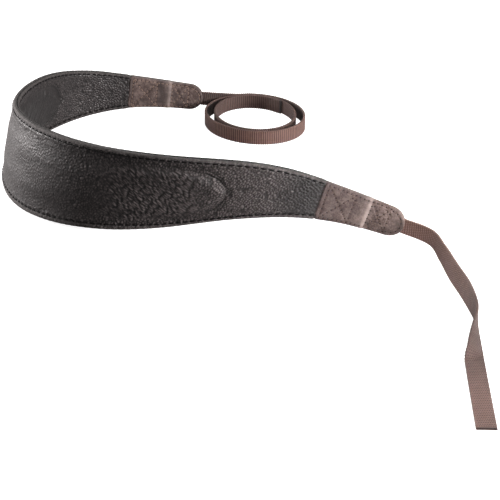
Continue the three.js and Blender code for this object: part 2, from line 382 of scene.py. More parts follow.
class Nodes:
    """A small helper that adds shader nodes and joins them."""

    def __init__(self, name):
        self.material = bpy.data.materials.new(name)
        self.material.use_nodes = True
        self.tree = self.material.node_tree
        self.shader = self.tree.nodes["Principled BSDF"]

    def add(self, kind, settings=None, **inputs):
        node = self.tree.nodes.new("ShaderNode" + kind)
        for key, value in (settings or {}).items():
            setattr(node, key, value)
        for key, value in inputs.items():
            self.put(node.inputs[key.replace("_", " ")], value)
        return node

    def put(self, socket, value):
        if isinstance(value, bpy.types.NodeSocket):
            self.tree.links.new(value, socket)
        elif socket.type == "RGBA":
            socket.default_value = (*value, 1)
        else:
            socket.default_value = value

    def math(self, operation, *values):
        node = self.add("Math", {"operation": operation})
        for socket, value in zip(node.inputs, values):
            self.put(socket, value)
        return node.outputs[0]

    def times(self, a, share, more=0.0):
        return self.math("MULTIPLY_ADD", a, share, more)

    def weighted(self, a, share_a, b, share_b):
        return self.times(a, share_a, self.times(b, share_b))

    def ramp(self, value, *stops):
        node = self.add("ValToRGB")
        self.put(node.inputs[0], value)
        elements = node.color_ramp.elements
        while len(elements) < len(stops):
            elements.new(0.5)
        for element, (place, colour) in zip(elements, stops):
            element.position = place
            element.color = (*colour, 1)
        return node.outputs[0]

    def mask(self, value, low, high, most=1.0):
        return self.ramp(value, (low, grey(0)), (high, grey(most)))

    def mix(self, factor, a, b, blend="MIX"):
        node = self.add("Mix", {"data_type": "RGBA", "blend_type": blend})
        self.put(node.inputs[0], factor)
        self.put(node.inputs[6], a)
        self.put(node.inputs[7], b)
        return node.outputs[2]

    def paint(self, tone, *coats):
        """Lays each colour over the tone as strongly as its point values say."""
        for name, colour in coats:
            tone = self.mix(self.value(name), tone, colour)
        return tone

    def place(self):
        return self.add("TexCoord").outputs["Object"]

    def millimetres(self):
        """How far along and across its piece a point lies."""
        flat = self.add("UVMap", {"uv_map": "flat_cut"}).outputs[0]
        parts = self.add("SeparateXYZ", Vector=flat).outputs
        return [self.times(part, MAP_UNIT) for part in parts[:2]]

    def value(self, name):
        return self.add("Attribute", {"attribute_name": name}).outputs["Fac"]

    def noise(self, vector, scale, detail=3.0, rough=0.55):
        return self.add("TexNoise", Vector=vector, Scale=scale, Detail=detail, Roughness=rough).outputs[0]

    def cells(self, vector, scale):
        kind = {"feature": "DISTANCE_TO_EDGE"}
        return self.add("TexVoronoi", kind, Vector=vector, Scale=scale).outputs[0]

    def bump(self, height, strength, distance, before=None):
        node = self.add("Bump", Height=height, Strength=strength, Distance=distance)
        if before is not None:
            self.put(node.inputs["Normal"], before)
        return node.outputs[0]

    def finish(self, **inputs):
        for key, value in inputs.items():
            self.put(self.shader.inputs[key.replace("_", " ")], value)
        return self.material


def grey(level):
    return (level, level, level)


def slanting_streaks(n):
    """Long cells that slant away from the band's middle on both its halves."""
    slant = math.radians(STREAK_SLANT)
    length, width = PAINTED_STREAK
    along, across = n.millimetres()
    far = n.math("ABSOLUTE", along)
    run = n.weighted(across, -math.sin(slant) / length, far, math.cos(slant) / length)
    over = n.weighted(across, math.cos(slant) / width, far, math.sin(slant) / width)
    return n.mask(n.cells(n.add("CombineXYZ", X=run, Y=over).outputs[0], 1.0), 0.0, 0.32)


def pebbled_leather(name, depth, shine):
    """Leather with slanting streaks, a speckled border, cut rims and painted shade in its creases; depth
    scales its colour.
    """
    n = Nodes(name)
    place = n.place()
    grain, rim, border, slanted = (n.value(key) for key in ("grain", "rim", "border", "slanted"))
    round_cells = n.ramp(n.cells(place, 1500.0), (0.0, grey(0)), (0.3, grey(0.8)), (0.6, grey(1)))
    fine = n.mix(slanted, round_cells, slanting_streaks(n))
    patches = n.noise(place, 26.0, 4.0)
    # The grain value also carries painted shade and light along the band
    tone = n.ramp(
        n.weighted(fine, n.times(slanted, 0.22, 0.22), grain, 0.8),
        (0.06, (0.004, 0.0034, 0.0034)),
        (0.44, (0.024, 0.0204, 0.0204)),
        (0.92, (0.098, 0.085, 0.0835)),
    )
    tone = n.mix(n.mask(patches, 0.42, 0.72, 0.3), tone, (0.040, 0.0345, 0.0342))
    speckle = n.noise(place, 620.0, 3.0, 0.7)
    strip = n.ramp(speckle, (0.36, (0.024, 0.0212, 0.0204)), (0.64, (0.118, 0.1045, 0.1010)))
    tone = n.mix(n.times(border, 0.6), tone, strip)
    tone = n.mix(1.0, tone, grey(depth), "MULTIPLY")
    cut = n.mix(speckle, (0.014, 0.0125, 0.0115), (0.038, 0.0345, 0.0320))
    tone = n.mix(n.times(rim, 0.9), tone, cut)
    # The crease value paints shade into the creases and stitch dents, and darkens the seam between the two
    # leathers
    tone = n.paint(tone, ("crease", (0.003, 0.0026, 0.0026)))
    height = n.times(fine, n.times(rim, -0.8, 1.0))
    bump = n.bump(height, 0.6, 0.00006)
    bump = n.bump(n.noise(place, 2600.0, 2.0), 0.3, 0.00004, bump)
    rough = n.times(grain, -0.16, 0.49)
    rough = n.times(n.math("MAXIMUM", rim, border), 0.35, rough)
    rough = n.times(patches, 0.10, rough)
    return n.finish(Base_Color=tone, Roughness=rough, Normal=bump, Specular_IOR_Level=shine)


def brushed_nubuck():
    n = Nodes("brushed_nubuck")
    place = n.place()
    cloudy = n.noise(place, 210.0, 6.0, 0.72)
    broad = n.noise(place, 52.0, 4.0, 0.6)
    fibres = n.noise(place, 1400.0, 3.0, 0.7)
    tone = n.ramp(
        n.weighted(fibres, 0.30, cloudy, 0.84),
        (0.40, (0.018, 0.011, 0.0095)),
        (0.55, (0.070, 0.0465, 0.0405)),
        (0.68, (0.165, 0.121, 0.107)),
    )
    tone = n.mix(n.mask(broad, 0.46, 0.62, 0.72), tone, (0.036, 0.0265, 0.0262))
    tone = n.paint(
        tone,
        # Painted shade, then the painted highlight of the ridge and tip
        ("shade", (0.026, 0.0195, 0.0192)),
        ("rubbed", (0.26, 0.213, 0.195)),
        # Lighter cut edges, with a painted highlight at the near tip
        ("edge", (0.36, 0.295, 0.265)),
        ("side", (0.036, 0.0245, 0.021)),
        # Painted shade in the stitch holes
        ("holes", (0.006, 0.004, 0.004)),
    )
    nap = n.bump(fibres, 0.45, 0.00014)
    nap = n.bump(cloudy, 0.4, 0.0004, nap)
    n.finish(Base_Color=tone, Normal=nap, Roughness=0.78, Specular_IOR_Level=0.3)
    return n.finish(Sheen_Weight=0.12, Sheen_Roughness=0.5)


def woven_webbing(name, tint):
    n = Nodes(name)
    along, across = n.millimetres()
    yarn = n.math("COSINE", n.times(across, 2 * math.pi / YARN))
    twist = n.math("SINE", n.weighted(across, 5.5, along, 2 * math.pi / TWIST_PITCH))
    uneven = n.noise(n.place(), 300.0, 3.0)
    broad = n.noise(n.place(), 26.0, 2.0)
    shade = n.times(n.value("weave"), 0.85, -0.08)
    shade = n.times(uneven, 0.26, shade)
    shade = n.times(yarn, 0.05, shade)
    tone = n.ramp(
        shade,
        (0.10, (0.03, 0.016, 0.013)),
        (0.42, (0.14, 0.084, 0.07)),
        (0.80, (0.29, 0.19, 0.164)),
    )
    tone = n.mix(n.mask(broad, 0.35, 0.7, 0.3), tone, (0.080, 0.049, 0.041))
    tone = n.paint(tone, ("edge", (0.200, 0.138, 0.118)))
    # The tint scales the colour, and the painted light level paints shade and light along the tape
    for share in (tint, n.value("lit")):
        tone = n.mix(1.0, tone, share, "MULTIPLY")
    # The cut value darkens the sealed ends, with painted shade and a painted shadow line there
    tone = n.paint(tone, ("cut", (0.009, 0.0055, 0.0046)))
    bump = n.bump(yarn, 0.5, 0.00006)
    bump = n.bump(twist, 0.3, 0.00003, bump)
    n.finish(Base_Color=tone, Normal=bump, Roughness=0.66, Specular_IOR_Level=0.3)
    return n.finish(Sheen_Weight=0.08, Sheen_Roughness=0.4)


def sewing_thread(name, dark, light):
    n = Nodes(name)
    kind = {"bands_direction": "DIAGONAL"}
    plies = n.add("TexWave", kind, Vector=n.place(), Scale=900.0, Distortion=0.6).outputs[1]
    n.finish(Base_Color=n.mix(plies, dark, light), Normal=n.bump(plies, 0.4, 0.00008))
    return n.finish(Roughness=0.85, Specular_IOR_Level=0.15)


OUTER_LEATHER = pebbled_leather("pebbled_leather", 1.0, 0.62)
# The lining is the same pebbled leather with its colour scaled to 0.62, a painted shade
INNER_LEATHER = pebbled_leather("lining_leather", 0.62, 0.42)
NUBUCK = brushed_nubuck()
NEAR_WEBBING = woven_webbing("woven_webbing", (0.86, 0.834, 0.826))
# The far tape has the same webbing, darker and a little warmer: a painted shade
FAR_WEBBING = woven_webbing("woven_webbing_painted_shade", (0.56, 0.485, 0.465))
DARK_THREAD = sewing_thread("dark_thread", (0.0016, 0.0014, 0.0014), (0.0045, 0.0038, 0.0038))
BROWN_THREAD = sewing_thread("brown_thread", (0.035, 0.0225, 0.018), (0.085, 0.056, 0.046))
TAN_THREAD = sewing_thread("tan_thread", (0.11, 0.073, 0.057), (0.24, 0.170, 0.140))


# The padded neck band

PAD_STEP = 0.5
FACE_COLUMNS = 100
BACK_COLUMNS = 7
BACK_SHARE = 0.97
RIM_ANGLES = 5
RIM_ROUNDING = 0.45
ROLL_WIDTH = 2.5
ROLL_DROP = 0.95
STITCH_SIDES = 6
STITCH_RINGS = 5


def stitch_inset(place, across):
    return 2.6 - 0.8 * ease(55, 125, np.abs(place)) + LOWER_EDGE * (across < 0)


def raised_inside(place, across, half):
    """How far a place lies inside the padded zone's border, and 1 towards the zone's ends."""
    share = np.clip((np.abs(place) - (RAISED_HALF - RAISED_ROUNDING)) / RAISED_ROUNDING, 0, 1)
    zone = (half - RAISED_BORDER) * np.sqrt(1 - share**2)
    beyond = np.maximum(np.abs(place) - RAISED_HALF, 0)
    return zone - np.abs(across) - beyond, ease(0.3, 0.95, share)


def stitch_dents(place, across, from_edge):
    """1 along each stitch of the sewing, and less where the leather rises between two."""
    off_row = from_edge - stitch_inset(place, across)
    under_thread = 0.5 - 0.5 * np.cos(2 * math.pi * place / PAD_STITCH_PITCH)
    return bell(off_row, 0.75) * (0.1 + 0.9 * ease(0.12, 0.5, under_thread))


def slanted_share(place, across, half, side):
    """How far the padding pulls the pebbles into slanting streaks, from 0 to 1."""
    far = np.abs(place)
    padded = ease(-1.0, 4.0, raised_inside(place, across, half)[0])
    if side > 0:
        return ease(48, 80, far) * (1 - ease(112, 131, far)) * padded
    return 0.25 * padded


def leather_grain(place, across, half, side, seed):
    """The leather's pebbles, from 0 to about 1, and how tall they are in millimetres."""
    far = np.abs(place)
    wander = soft_noise(place / 5, across / 5, seed + 31) * 0.9
    drift = soft_noise(place / 6, across / 4, seed + 37) * 0.9
    lengthwise = (place + wander) * 0.57 + (across + drift) * 0.82
    crosswise = (across + drift) * 0.57 - (place + wander) * 0.82
    round_cells = pebbles(lengthwise / 1.95, crosswise / 1.4, seed + 11)
    slant = math.radians(STREAK_SLANT)
    length, width = RAISED_STREAK
    run = far * math.cos(slant) - across * math.sin(slant)
    over = far * math.sin(slant) + across * math.cos(slant)
    long_cells = pebbles((run + wander) / length, (over + drift * 0.25) / width, seed + 13)
    fleck = 0.84 + 0.32 * lattice(np.floor(place / 1.3), np.floor(across / 1.3), seed + 17)
    inside, _ = raised_inside(place, across, half)
    pulled = slanted_share(place, across, half, side)
    if side > 0:
        tall = 0.24 + 0.26 * ease(30, 80, far) - 0.14 * ease(155, 185, place)
    else:
        tall = 0.38 - 0.28 * ease(-1.0, 4.0, inside)
    level = (round_cells * (1 - pulled) + long_cells * pulled) * fleck
    return level, tall


def leather_folds(place, across, half, side, seed):
    """Soft swells of the padding and the fine creases where the leather bends."""
    from_edge = half - np.abs(across)
    inside, tips = raised_inside(place, across, half)
    border = bell(inside + 1.5, 2.6)
    swell = soft_noise(place / 31, across / 17, seed + 3) * 0.26
    ripple = soft_noise(place / 9, across / 5, seed) * 0.08
    crumple = soft_noise(place / 2.6, across / 1.9, seed + 5) * 0.16 * border * (1 - 0.6 * tips)
    lines = soft_noise(place / 1.9 + across / 5, across / 13, seed + 7)
    bend = 0.36 if side < 0 else 0.03
    crossing = lines * bend * ease(0, 5, inside)
    return (swell + ripple + crumple + crossing) * ease(1.5, 6, from_edge)


def zone_creases(place, across, half):
    """1 in the crease round the padded zone's ends, and a fainter one beyond it."""
    inside, tips = raised_inside(place, across, half)
    waver = soft_noise(place / 5, across / 4, 91) * 0.35
    first = bell(inside + 0.6 + waver, 1.0) * (0.16 + 0.84 * tips)
    second = bell(inside + 3.7 - waver, 0.85) * 0.9 * tips
    return first, second


def padded_height(place, across, half, side, seed):
    """How far the face stands off its flat leather, with the padding, folds and grain."""
    inside, tips = raised_inside(place, across, half)
    settled = ease(45, 110, np.abs(place))
    slope = RAISED_SLOPE + 3 * tips + 8 * (1 - settled) if side > 0 else RAISED_SLOPE
    height = RAISED_HEIGHT * (0.5 + 0.5 * settled if side > 0 else 1.3) * ease(0, slope, inside)
    first, second = zone_creases(place, across, half)
    height = height - first * (0.5 if side > 0 else 0.25) - second * 0.45
    height = height + leather_folds(place, across, half, side, seed)
    level, tall = leather_grain(place, across, half, side, seed)
    from_edge = half - np.abs(across)
    height = height + (level - 0.55) * tall * ease(0.3, 1.4, from_edge)
    into_roll = np.clip(1 - from_edge / ROLL_WIDTH, 0, 1)
    drop = ROLL_DROP + 0.4 * ease(90, 140, np.abs(place))
    height = height - drop * (1 - np.sqrt(1 - into_roll**2))
    return height - 0.3 * stitch_dents(place, across, from_edge)


def pad_reach(place, half, under_tab, side, seed):
    """Half the width of the band's face, which wavers and tucks in under the tabs."""
    tucked = 0.2 * ease(-0.4, 0.2, under_tab) + 0.9 * ease(1.8, 2.6, under_tab)
    seam = 0.06 * np.cos(2 * math.pi * place / PAD_STITCH_PITCH)
    wobble = soft_noise(place / 17, place * 0 + side * 3, seed + 23) * 0.14 - seam - tucked
    return (half - RIM_ROUNDING + wobble)[:, None]


def pad_sections(place, half, side, base, seed):
    """Places across and levels out for the sections of one leather of the band."""
    under_tab = np.abs(place) - (PAD_HALF - TAB_EARLY)
    reach = pad_reach(place, half, under_tab, side, seed)
    across = np.linspace(-1, 1, FACE_COLUMNS) * reach
    places, halves = (per_column(values, FACE_COLUMNS) for values in (place, half))
    level = PAD_FACE + padded_height(places, across, halves, side, seed)
    thin = ease(1.4, -0.3, under_tab)[:, None]
    level = base + (level - base) * (0.42 + 0.58 * thin)
    turn = np.radians(np.linspace(0, 90, RIM_ANGLES + 1)[1:])
    drop = (1 - np.cos(turn)) * 0.9
    high, low = (edge + (base - edge) * drop for edge in (level[:, -1:], level[:, :1]))
    rim_across = reach + RIM_ROUNDING * np.sin(turn * 1.35).clip(0, 1) ** 0.8
    back_across = np.linspace(BACK_SHARE, -BACK_SHARE, BACK_COLUMNS) * reach
    back = np.full(back_across.shape, base)
    return section((across, level), (rim_across, high, low), (back_across, back))


def paint_pad(piece, place, across, half, out, side, base, seed):
    """The leather's painted shade in its creases and stitch dents, its darker seams, its pale border, and
    the tone of its grain with painted shade and light.
    """
    from_edge = half - np.abs(across)
    inside, tips = raised_inside(place, across, half)
    first, second = zone_creases(place, across, half)
    dents = stitch_dents(place, across, from_edge)
    seam = ease(0.5, 0.05, (out - base) / (PAD_FACE - base))
    lining = (side < 0) * (0.15 + 0.75 * tips) * bell(inside + 0.6, 2.4)
    # Painted shade in the padded zone's creases, under the stitch threads and at the lining's padded end;
    # the seam between the leathers is darker too
    creases = np.maximum.reduce([dents * 0.9, first * 0.85, second * 0.85, lining, seam * 0.9])
    level, tall = leather_grain(place, across, half, side, seed)
    contrast = 0.35 + 0.65 * tall / 0.42
    # Painted shade on the face by the near tab and painted light past the padded zone; on the lining,
    # painted shade over the padding
    if side > 0:
        painted_light_and_shade = 0.5 * ease(163, 188, place) - 0.18 * bell(place - 144, 26)
        contrast = contrast * (1 - 0.4 * ease(155, 185, place))
    else:
        painted_light_and_shade = 0.3 * ease(-1.0, 4.0, inside)
    point_values(
        piece,
        border=ease(-0.15, 0.35, stitch_inset(place, across) - 0.35 - from_edge),
        rim=ease(0.55, 0.15, from_edge),
        crease=np.clip(creases, 0, 1),
        slanted=slanted_share(place, across, half, side),
        # The pebbles' tone, with the painted shade and light laid in
        grain=0.5 + (level - 0.6) * contrast - painted_light_and_shade,
    )


def pad_panel(name, side, base, seed, material):
    """One leather of the band as a closed tube of sections, thick enough to show its edge."""
    end = PAD_HALF + PAD_IN_TAB
    place = np.linspace(-end, end, int(2 * end / PAD_STEP) + 1)
    centre, _, across_dir, out_dir, half = band_at(place)
    across, out = pad_sections(place, half, side, base, seed)
    piece = add_tube(name, (centre, across_dir, out_dir), across, side * out, material, "leather")
    places, halves = (per_column(values, across.shape[1]) for values in (place, half))
    paint_pad(piece, places, across, halves, out, side, base, seed)
    surface_map(piece, places, across)
    return piece


def thread_bits(name, starts, ends, ups, material, slot, radius, lift):
    """Short bowed stitches from start to end, as one joined mesh."""
    t = np.linspace(0, 1, STITCH_RINGS)
    bow = np.sin(t * math.pi)
    thick = radius * (0.45 + 0.55 * np.sqrt(bow))
    along = unit(ends - starts)
    side = unit(np.cross(along, ups))
    up = np.cross(side, along)
    middle = starts[:, None] + (ends - starts)[:, None] * t[:, None]
    middle = middle + up[:, None] * (bow * lift)[:, None]
    angle = np.arange(STITCH_SIDES)[:, None] * 2 * math.pi / STITCH_SIDES
    around = side[:, None, None] * np.cos(angle) + up[:, None, None] * np.sin(angle)
    points = middle[:, :, None] + around * thick[:, None, None]
    caps = np.array([[0, 1, 2, 3], [0, 3, 4, 5]])[:, ::-1]
    far = caps[:, ::-1] + (STITCH_RINGS - 1) * STITCH_SIDES
    one = np.vstack([ring_faces(STITCH_RINGS, STITCH_SIDES), caps, far])
    first = np.arange(len(starts)) * STITCH_RINGS * STITCH_SIDES
    faces = (one[None] + first[:, None, None]).reshape(-1, 4)
    return add_piece(name, points.reshape(-1, 3), faces, material, slot)


def on_band(place, across, out):
    centre, _, across_dir, out_dir, _ = band_at(place)
    return centre + across_dir * across[:, None] + out_dir * out[:, None]


def pad_stitches(name, side, seed):
    """Both rows of sewing on one face of the band."""
    last = int((PAD_HALF - 1) / PAD_STITCH_PITCH)
    holes = np.arange(-last, last) * PAD_STITCH_PITCH
    starts, ends, ups = [], [], []
    for edge in (1, -1):
        for place, store in ((holes + 0.5, starts), (holes + PAD_STITCH_PITCH - 0.5, ends)):
            half = half_width_at(place)
            across = edge * (half - stitch_inset(place, edge))
            folds = leather_folds(place, across, half, side, seed)
            store.append(on_band(place, across, side * (PAD_FACE - 0.12 + folds)))
        ups.append(side * band_directions(holes)[2])
    rows = (np.vstack(both) for both in (starts, ends, ups))
    return thread_bits(name, *rows, DARK_THREAD, "leather", PAD_STITCH_RADIUS, PAD_STITCH_LIFT)


outer_panel = pad_panel("outer_leather", 1, OUTER_BACK, OUTER_SEED, OUTER_LEATHER)
inner_panel = pad_panel("inner_leather", -1, INNER_BACK, INNER_SEED, INNER_LEATHER)
outer_stitches = pad_stitches("outer_stitches", 1, OUTER_SEED)
inner_stitches = pad_stitches("inner_stitches", -1, INNER_SEED)
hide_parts("outer_panel")
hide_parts("inner_panel")


# The leather tabs

TAB_ROWS = 150
TAB_COLUMNS = 58
TAB_BACK_COLUMNS = 21
CORNER = 2.2
TAB_STITCH_SUNK = 0.26

TABS = [
    # name, end, side, seed
    ("near_outer", 1, 1, 61),
    ("near_inner", 1, -1, 67),
    ("far_outer", -1, 1, 71),
    ("far_inner", -1, -1, 79),
]

# thread, radius and lift of the stitches at either end
TAB_SEWING = {1: (BROWN_THREAD, 0.2, 0.1), -1: (TAN_THREAD, 0.27, 0.24)}


def tab_half_width(distance):
    """Half the tab's width at a distance from its start, round at both corners and the tip."""
    half = half_width_at(PAD_HALF + np.asarray(distance))
    into_tip = np.clip(distance - (TAB_LENGTH - TIP_RADIUS), 0, TIP_RADIUS)
    half = half * np.sqrt(np.clip(1 - (into_tip / TIP_RADIUS) ** 2, 0.0009, 1))
    into_corner = np.clip(CORNER - distance - TAB_EARLY, 0, CORNER)
    return half - CORNER + np.sqrt(CORNER**2 - into_corner**2)


def line_of_holes(start, end):
    (x0, y0), (x1, y1) = start, end
    count = max(1, round(math.hypot(x1 - x0, y1 - y0) / TAB_PITCH))
    return [(x0 + (x1 - x0) * k / count, y0 + (y1 - y0) * k / count) for k in range(count + 1)]


def tab_holes():
    """Rows of sewing on a tab, each a list of holes as distance and place across."""
    def inset(distance):
        return float(tab_half_width(np.array([distance]))[0]) - TAB_INSET

    rows = []
    box_one, box_two = (1.1, 18.6), (29.6, 41.4)
    for low, high in (box_one, box_two):
        for column in (low, high):
            rows.append(line_of_holes((column, -inset(column)), (column, inset(column))))
        rows.append(line_of_holes((low, -inset(low)), (high, inset(high))))
        rows.append(line_of_holes((low, inset(low)), (high, -inset(high))))
    along = np.arange(box_one[0], TAB_LENGTH - TIP_RADIUS, TAB_PITCH * 0.98)
    for edge in (1, -1):
        rows.append([(x, edge * inset(x)) for x in along])
    centre = TAB_LENGTH - TIP_RADIUS
    radius = TIP_RADIUS - TAB_INSET
    angles = np.radians(np.linspace(-90, 90, 8))
    rows.append([(centre + radius * math.cos(a), radius * 0.98 * math.sin(a)) for a in angles])
    return rows


HOLES = tab_holes()
HOLE_POINTS = np.array([point for row in HOLES for point in row])
SEAMS = np.array([(*start, *end) for row in HOLES for start, end in zip(row[:-1], row[1:])])


def hole_depth(distance, across):
    """1 in the middle of a stitch hole and 0 away from all."""
    found = np.zeros(distance.shape)
    for x, y in HOLE_POINTS:
        found = np.maximum(found, bell(np.hypot(distance - x, across - y), 0.48))
    return found


def seam_pull(distance, across):
    """1 along the rows of sewing, where the leather is drawn in."""
    pull = np.zeros(distance.shape)
    for x0, y0, x1, y1 in SEAMS:
        dx, dy = x1 - x0, y1 - y0
        t = np.clip(((distance - x0) * dx + (across - y0) * dy) / (dx * dx + dy * dy), 0, 1)
        away = np.hypot(distance - x0 - t * dx, across - y0 - t * dy)
        pull = np.maximum(pull, bell(away, 0.7))
    return pull


def tab_level(distance, across):
    """How far a tab's face lies from the strap's middle surface, without its sewing."""
    over_pad = 2.62
    over_web = 2.28
    at_edge = 1.62
    crown = 1 - ease(4.2, 8.6, np.abs(across))
    beyond = at_edge + (over_web - at_edge) * crown
    past_step = ease(TAB_STEP - 0.9, TAB_STEP + 2.8, distance)
    level = over_pad + (beyond - over_pad) * past_step
    return level + bell(distance - (TAB_STEP - 0.3), 1.3) * 0.2


def tab_painted_light(distance, across, end, seed):
    """The painted highlight on the ridge over the band's end, with painted light before it and at the near
    tip, and the painted shade over the tab and beside the step, both from 0 to 1.
    """
    streaks = 0.85 + 0.3 * soft_noise(across / 1.3, distance / 6, seed + 9)
    if end > 0:
        ridge = bell(distance - (TAB_STEP + 0.4), 1.9) * 0.6
        lead = 0.36 * ease(21.5, 28.0, distance) * (distance < TAB_STEP + 0.9)
        shade = 0.2 + 0.25 * bell(distance - 21.0, 2.2) + 0.3 * ease(22.0, 14.0, distance)
        lead = np.maximum(lead, 0.16 * ease(TAB_LENGTH - 15, TAB_LENGTH - 5, distance))
    else:
        ridge = bell(distance - (TAB_STEP + 0.6), 2.3) * 0.42
        lead = 0 * distance
        shade = 0.22 + 0.55 * bell(distance - 21.6, 2.4)
    return np.clip(np.maximum(ridge, lead) * streaks, 0, 1), np.clip(shade * streaks, 0, 1)


def tab_stations():
    """Distances from a tab's start, closer together towards both of its ends."""
    share = np.linspace(0, 1, TAB_ROWS)
    share = 0.35 * (0.5 - 0.5 * np.cos(math.pi * share)) + 0.65 * share
    distance = -TAB_EARLY + (TAB_LENGTH + TAB_EARLY) * share
    return np.clip(distance, 0.02 - TAB_EARLY, TAB_LENGTH - 0.05)


def sewn_level(distance, across, half, holes, seed):
    """The level of a tab's face with its wrinkles, its sewing and its dropping edges."""
    rough = soft_noise(distance / 1.1, across / 1.1, seed) * 0.04
    rough = rough + soft_noise(distance / 5, across / 4, seed + 1) * 0.10
    slack = ease(TAB_STEP + 1.5, TAB_STEP + 4, distance)
    slack = slack * (1 - ease(TAB_LENGTH - 9, TAB_LENGTH - 5, distance))
    wrinkles = soft_noise((distance + across * 0.7) / 0.7, (distance - across) / 6, seed + 4)
    level = tab_level(distance, across) + rough + wrinkles * 0.12 * slack
    level = level - holes * 0.55 - seam_pull(distance, across) * 0.13
    edge_drop = 1.05 - 0.5 * ease(TAB_STEP - 2, TAB_STEP + 2, distance)
    level = level - edge_drop * (1 - ease(0.0, 2.4, half - np.abs(across))) ** 1.5
    lip = np.minimum(distance + TAB_EARLY, TAB_LENGTH - distance)
    return level - 0.35 * (1 - ease(0, 0.6, lip)) ** 2


def tab_back(distance, across, half):
    """The level of a tab's hidden side, hollow over the band's end and over the webbing."""
    over_pad = (distance < TAB_STEP) & (np.abs(across) < half - TAB_WALL)
    over_web = (np.abs(across) < WEB_WIDTH / 2 + 0.45) | (half < WEB_WIDTH / 2 + TAB_WALL)
    channel = (distance > TAB_LENGTH - WEB_IN_TAB - 0.6) & over_web
    return np.where(over_pad, TAB_BACK_OVER_PAD, np.where(channel, TAB_BACK_OVER_WEB, TAB_LOW))


def tab_sections(distance, half, seed):
    """Places across and levels out for a tab's sections, and how deep its holes are."""
    round_edge = np.minimum(0.5, half * 0.4)
    reach = half - round_edge
    across = np.linspace(-1, 1, TAB_COLUMNS) * reach
    distances = np.repeat(distance, TAB_COLUMNS, 1)
    holes = hole_depth(distances, across)
    level = sewn_level(distances, across, half, holes, seed)
    turn = np.radians(np.linspace(0, 90, 4)[1:])
    ends = (level[:, -1:], level[:, :1])
    high, low = (edge + (TAB_LOW + 0.1 - edge) * (1 - np.cos(turn)) for edge in ends)
    rim_across = reach + round_edge * np.sin(turn)
    back_across = np.linspace(BACK_SHARE, -BACK_SHARE, TAB_BACK_COLUMNS) * (reach + round_edge)
    back = tab_back(distance, back_across, half)
    return *section((across, level), (rim_across, high, low), (back_across, back)), holes


def paint_tab(piece, distance, across, half, out, holes, end, seed):
    """Where the nubuck gets its painted highlight and shade, and where it is cut or pierced, with a
    painted highlight at the near tip's edge and painted shade in its holes.
    """
    grain = soft_noise(distance / 2, across / 2, seed + 5)
    near_tip = ease(TAB_LENGTH - 11, TAB_LENGTH - 6, distance)
    # A painted highlight along one side of the near tip's cut edge, over the cut edges' own lighter colour
    tip_highlight = near_tip * (end > 0) * ease(4.0, -1.0, across)
    cut_edge_and_highlight = bell(half - np.abs(across) - 0.35, 0.3)
    cut_edge_and_highlight = cut_edge_and_highlight * (0.04 + 0.8 * tip_highlight) * (0.8 + 0.4 * grain)
    no_holes = np.zeros((TAB_ROWS, across.shape[1] - TAB_COLUMNS))
    # Painted shade in the stitch holes, fainter on the far tab
    pierced = ease(0.2, 0.55, holes) * (1.0 if end > 0 else 0.6)
    rubbed, shade = tab_painted_light(distance, across, end, seed)
    point_values(
        piece,
        edge=np.clip(cut_edge_and_highlight, 0, 1),
        side=np.clip(1 - (out - TAB_LOW) / 0.9, 0, 1) * 0.85,
        holes=np.hstack([pierced, no_holes]),
        rubbed=rubbed,
        shade=shade,
    )


def tab_leather(name, end, side, seed):
    """One leather of a tab, with rounded cut edges, sewn dents and the step over the band's end."""
    distance = tab_stations()
    centre, _, across_dir, out_dir, _ = band_at(end * (PAD_HALF + distance))
    half = (tab_half_width(distance) - (0 if side > 0 else 0.3))[:, None]
    across, out, holes = tab_sections(distance[:, None], half, seed)
    piece = add_tube(name, (centre, across_dir, out_dir), across, side * out, NUBUCK, "nubuck")
    distances = per_column(distance, across.shape[1])
    paint_tab(piece, distances, across, half, out, holes, end, seed)
    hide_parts(name.replace("leather_", "tab_"))
    return piece


def tab_stitches(name, end, side, thread, radius, lift):
    """A tab's stitches, each a little shorter than the way between its holes."""
    x0, y0, x1, y1 = SEAMS.T
    length = np.hypot(x1 - x0, y1 - y0)
    cut = np.minimum(0.35, length * 0.16) / length
    tips = []
    for share in (cut, 1 - cut):
        x = x0 + (x1 - x0) * share
        y = y0 + (y1 - y0) * share
        out = side * (tab_level(x, y) - TAB_STITCH_SUNK)
        tips.append(on_band(end * (PAD_HALF + x), y, out))
    ups = side * band_directions(end * (PAD_HALF + x0))[2]
    return thread_bits(name, *tips, ups, thread, "nubuck", radius, lift)


tabs = [tab_leather("leather_" + name, end, side, seed) for name, end, side, seed in TABS]
tab_threads = [
    tab_stitches("stitches_" + name, end, side, *TAB_SEWING[end]) for name, end, side, _ in TABS
]


# The webbing

def catmull_rom(points, place):
    """A centripetal curve through the points, at places counted in points."""
    points = np.asarray(points, float)
    before = 2 * points[0] - points[1]
    after = 2 * points[-1] - points[-2]
    padded = np.vstack([before, points, after])
    i = np.clip(np.floor(place).astype(int), 0, len(points) - 2)
    t = (place - i)[:, None]
    p0, p1, p2, p3 = (padded[i + k] for k in range(4))
    spans = (p1 - p0, p2 - p1, p3 - p2)
    d0, d1, d2 = (np.linalg.norm(span, axis=1, keepdims=True) ** 0.5 for span in spans)
    t1 = ((p1 - p0) / d0 - (p2 - p0) / (d0 + d1) + (p2 - p1) / d1) * d1
    t2 = ((p2 - p1) / d1 - (p3 - p1) / (d1 + d2) + (p3 - p2) / d2) * d1
    return p1 + t1 * t + (-3 * p1 + 3 * p2 - 2 * t1 - t2) * t**2 + (2 * p1 - 2 * p2 + t1 + t2) * t**3


def smoothed(values, width):
    kernel = np.hanning(width + 2)[1:-1]
    kernel = kernel / kernel.sum()
    padded = np.pad(values, ((width // 2, width // 2), (0, 0)), mode="edge")
    return np.stack([np.convolve(padded[:, k], kernel, "valid") for k in range(values.shape[1])], 1)


SELVEDGE = 4


def rib_height(along):
    return np.cos(2 * math.pi * along / PICK)


